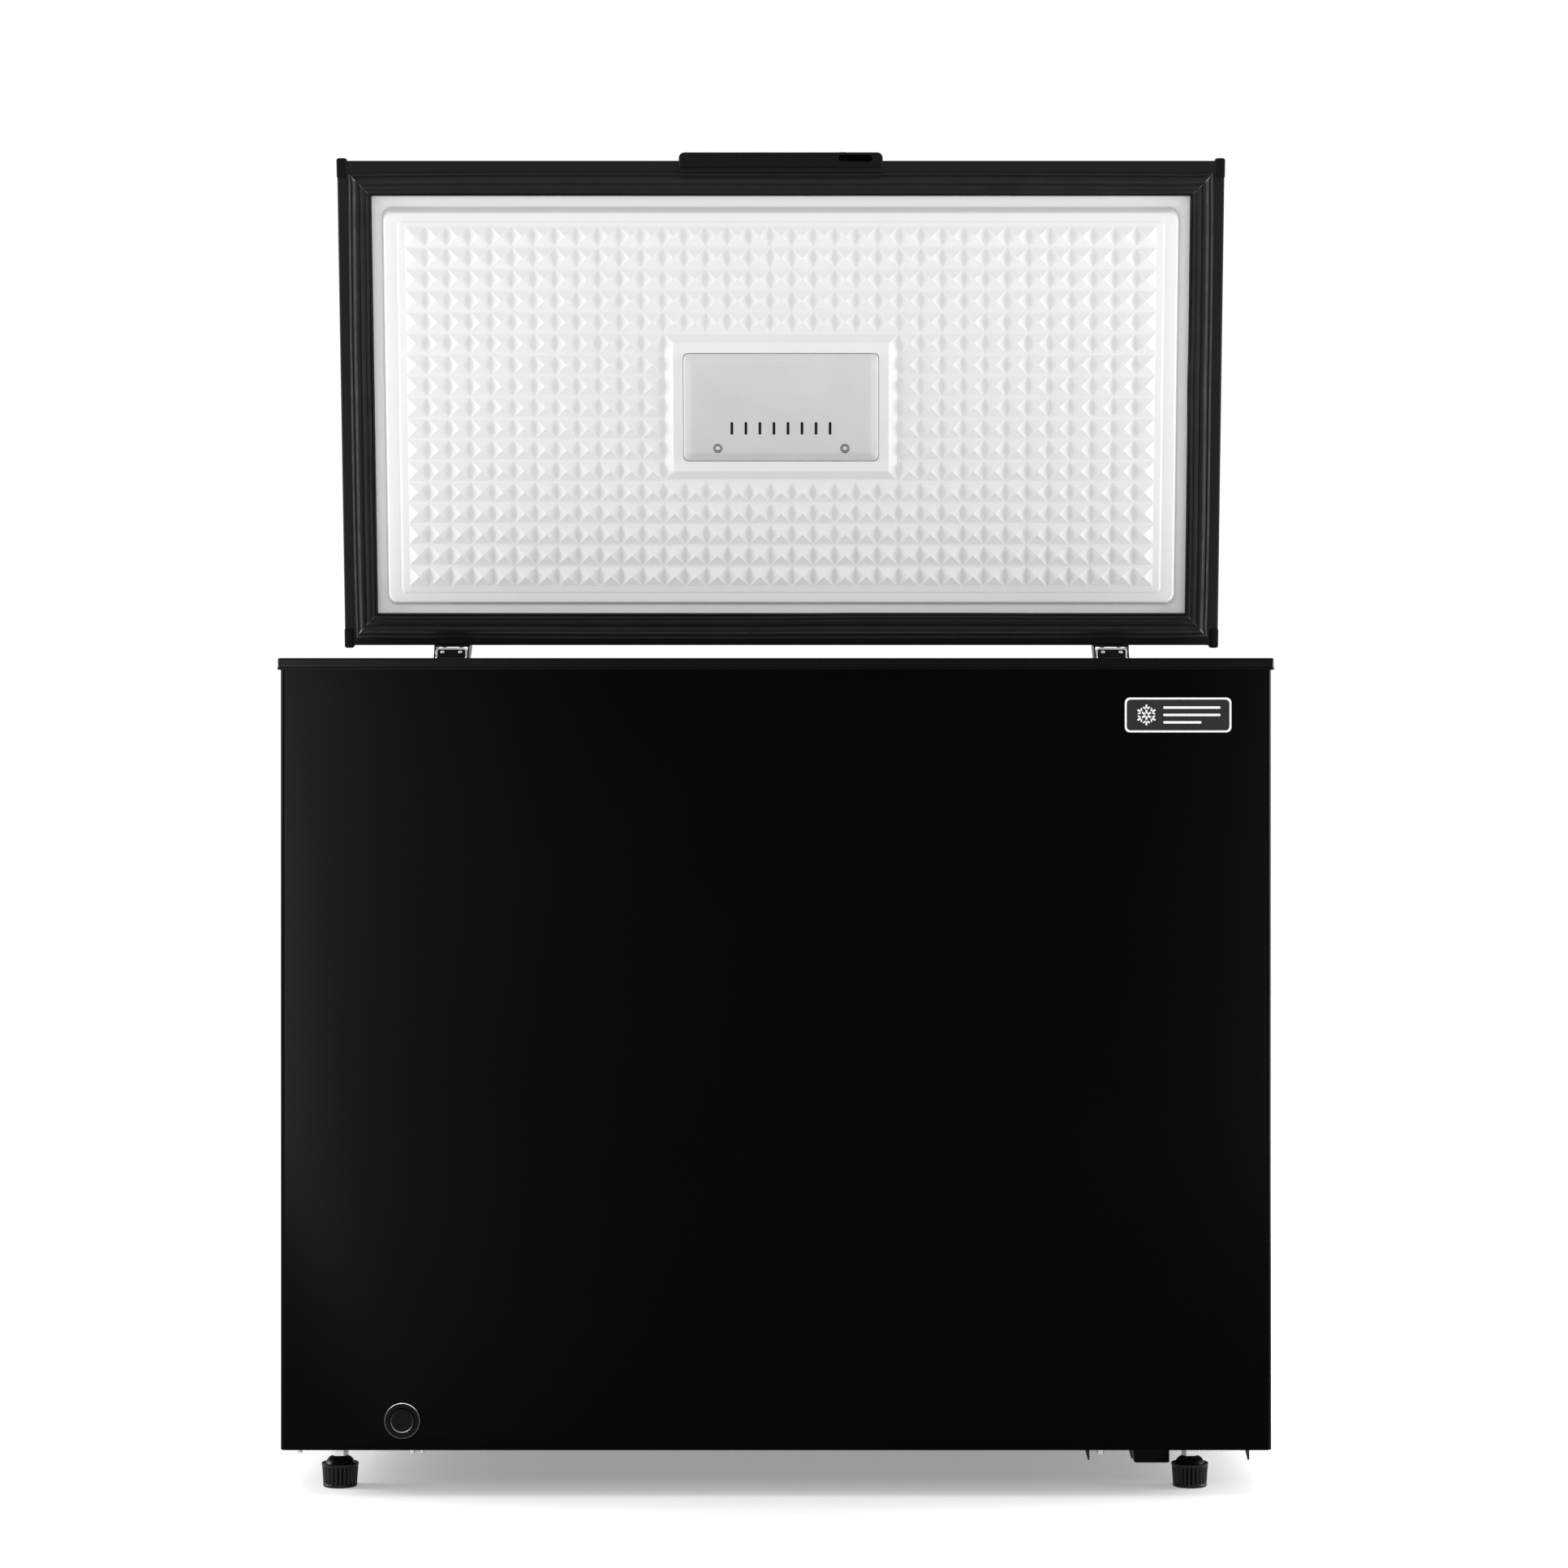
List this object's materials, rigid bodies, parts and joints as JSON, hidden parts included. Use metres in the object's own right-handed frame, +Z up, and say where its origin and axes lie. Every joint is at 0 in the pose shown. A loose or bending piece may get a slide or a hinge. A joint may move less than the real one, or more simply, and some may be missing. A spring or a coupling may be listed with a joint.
{
  "type": "chest freezer",
  "caption": "Chest freezer with a hinged foam-filled lid, a lamp in the lid, a front drain, levelling feet and a lift-out basket.",
  "frame": {"origin": "on the floor, under the middle of the whole object's box with the lid open", "axes": "+X to the right seen from the front, +Y to the back, +Z up"},
  "size_m": [0.946, 0.5876, 1.3521],
  "materials": {
    "black_paint": "satin",
    "dark_steel": "satin",
    "compressor_paint": "gloss",
    "black_plastic": "satin",
    "gray_plastic": "satin",
    "lamp_plastic": "satin",
    "white_liner": "satin",
    "basket_wire": "satin",
    "foam": "matte",
    "seal_rubber": "matte",
    "zinc": "satin",
    "spring_steel": "satin",
    "aluminium": "satin",
    "copper": "satin",
    "board": "satin",
    "badge_face": "gloss"
  },
  "bodies": {
    "cabinet": {"outer_wrap": "black_paint", "back_panel": "dark_steel", "base_pan": "dark_steel", "foam_insulation": "foam", "inner_liner": "white_liner", "rim_front": "black_plastic", "rim_rear": "black_plastic", "rim_left": "black_plastic", "rim_right": "black_plastic", "evaporator_tube": "aluminium", "condenser_tube": "copper", "compressor_tray": "dark_steel", "compressor_shell": "compressor_paint", "terminal_cover": "black_plastic", "suction_line": "copper", "discharge_line": "copper", "side_vent_grille": "black_plastic", "thermostat_body": "gray_plastic", "drain_tube": "gray_plastic", "drain_socket": "black_plastic", "badge": "badge_face", "cord_gland": "black_plastic", "hinge_bracket_left": "zinc", "hinge_cover_left": "black_plastic", "hinge_pin_left": "zinc", "hinge_spring_left": "spring_steel", "hinge_bracket_right": "zinc", "hinge_cover_right": "black_plastic", "hinge_pin_right": "zinc", "hinge_spring_right": "spring_steel"},
    "lid": {"lid_outer_panel": "black_paint", "lid_foam": "foam", "lid_liner": "white_liner", "lid_gasket": "seal_rubber", "lid_corner_front_left": "black_plastic", "lid_corner_front_right": "black_plastic", "lid_corner_rear_left": "black_plastic", "lid_corner_rear_right": "black_plastic", "lid_handle": "black_plastic", "lamp_cover": "lamp_plastic", "lamp_board": "board", "hinge_leaf_left": "zinc", "hinge_leaf_right": "zinc"},
    "lock": {"lock_cylinder": "zinc", "lock_cam": "zinc"},
    "plunger_left": {"hinge_plunger_left": "black_plastic"},
    "plunger_right": {"hinge_plunger_right": "black_plastic"},
    "thermostat_dial": {"thermostat_knob": "black_plastic"},
    "drain_slider": {"drain_stem": "black_plastic"},
    "drain_face": {"drain_dial": "black_plastic"},
    "tub_plug": {"drain_plug": "gray_plastic"},
    "foot_front_left": {"foot_stem_front_left": "zinc", "foot_knob_front_left": "black_plastic"},
    "foot_front_right": {"foot_stem_front_right": "zinc", "foot_knob_front_right": "black_plastic"},
    "foot_rear_left": {"foot_stem_rear_left": "zinc", "foot_knob_rear_left": "black_plastic"},
    "foot_rear_right": {"foot_stem_rear_right": "zinc", "foot_knob_rear_right": "black_plastic"},
    "basket": {"storage_basket": "basket_wire"}
  },
  "joints": [
    {"name": "lid_hinge", "type": "hinge", "parent": "cabinet", "child": "lid", "pos_m": [0, 0.25105, 0.8095], "axis": [-1, 0, 0], "range_deg": [-81.8, 8.2], "stiffness_Nm_per_rad": 8, "deforming": ["hinge_spring_left", "hinge_spring_right"]},
    {"name": "plunger_left_slide", "type": "slide", "parent": "cabinet", "child": "plunger_left", "axis": [0, 0, 1], "range_m": [-0.014, 0.003]},
    {"name": "plunger_right_slide", "type": "slide", "parent": "cabinet", "child": "plunger_right", "axis": [0, 0, 1], "range_m": [-0.014, 0.003]},
    {"name": "lock_turn", "type": "hinge", "parent": "lid", "child": "lock", "pos_m": [0.0665, 0.18932, 1.34649], "axis": [0, 0.1426, -0.9898], "range_deg": [0, 90]},
    {"name": "thermostat_turn", "type": "hinge", "parent": "cabinet", "child": "thermostat_dial", "pos_m": [0.468, -0.17125, 0.22], "axis": [1, 0, 0], "range_deg": [0, 270]},
    {"name": "drain_pull", "type": "slide", "parent": "cabinet", "child": "drain_slider", "axis": [0, -1, 0], "range_m": [0, 0.018]},
    {"name": "drain_turn", "type": "hinge", "parent": "drain_slider", "child": "drain_face", "pos_m": [-0.3539, -0.29125, 0.0724], "axis": [0, -1, 0], "range_deg": [0, 180]},
    {"name": "tub_plug_lift", "type": "slide", "parent": "cabinet", "child": "tub_plug", "axis": [0, 0, 1], "range_m": [0, 0.03]},
    {"name": "basket_lift", "type": "slide", "parent": "cabinet", "child": "basket", "axis": [0, 0, 1], "range_m": [0, 0.25]},
    {"name": "foot_front_left_turn", "type": "hinge", "parent": "cabinet", "child": "foot_front_left", "pos_m": [-0.42, -0.22925, 0.015], "axis": [0, 0, 1], "range_deg": [0, 1080]},
    {"name": "foot_front_right_turn", "type": "hinge", "parent": "cabinet", "child": "foot_front_right", "pos_m": [0.3977, -0.22925, 0.015], "axis": [0, 0, 1], "range_deg": [0, 1080]},
    {"name": "foot_rear_left_turn", "type": "hinge", "parent": "cabinet", "child": "foot_rear_left", "pos_m": [-0.42, 0.17275, 0.015], "axis": [0, 0, 1], "range_deg": [0, 1080]},
    {"name": "foot_rear_right_turn", "type": "hinge", "parent": "cabinet", "child": "foot_rear_right", "pos_m": [0.3977, 0.17275, 0.015], "axis": [0, 0, 1], "range_deg": [0, 1080]}
  ],
  "couplings": [
    {"joint": "plunger_left_slide", "follows": "lid_hinge", "m_per_rad": 0.0084},
    {"joint": "plunger_right_slide", "follows": "lid_hinge", "m_per_rad": 0.0084}
  ]
}
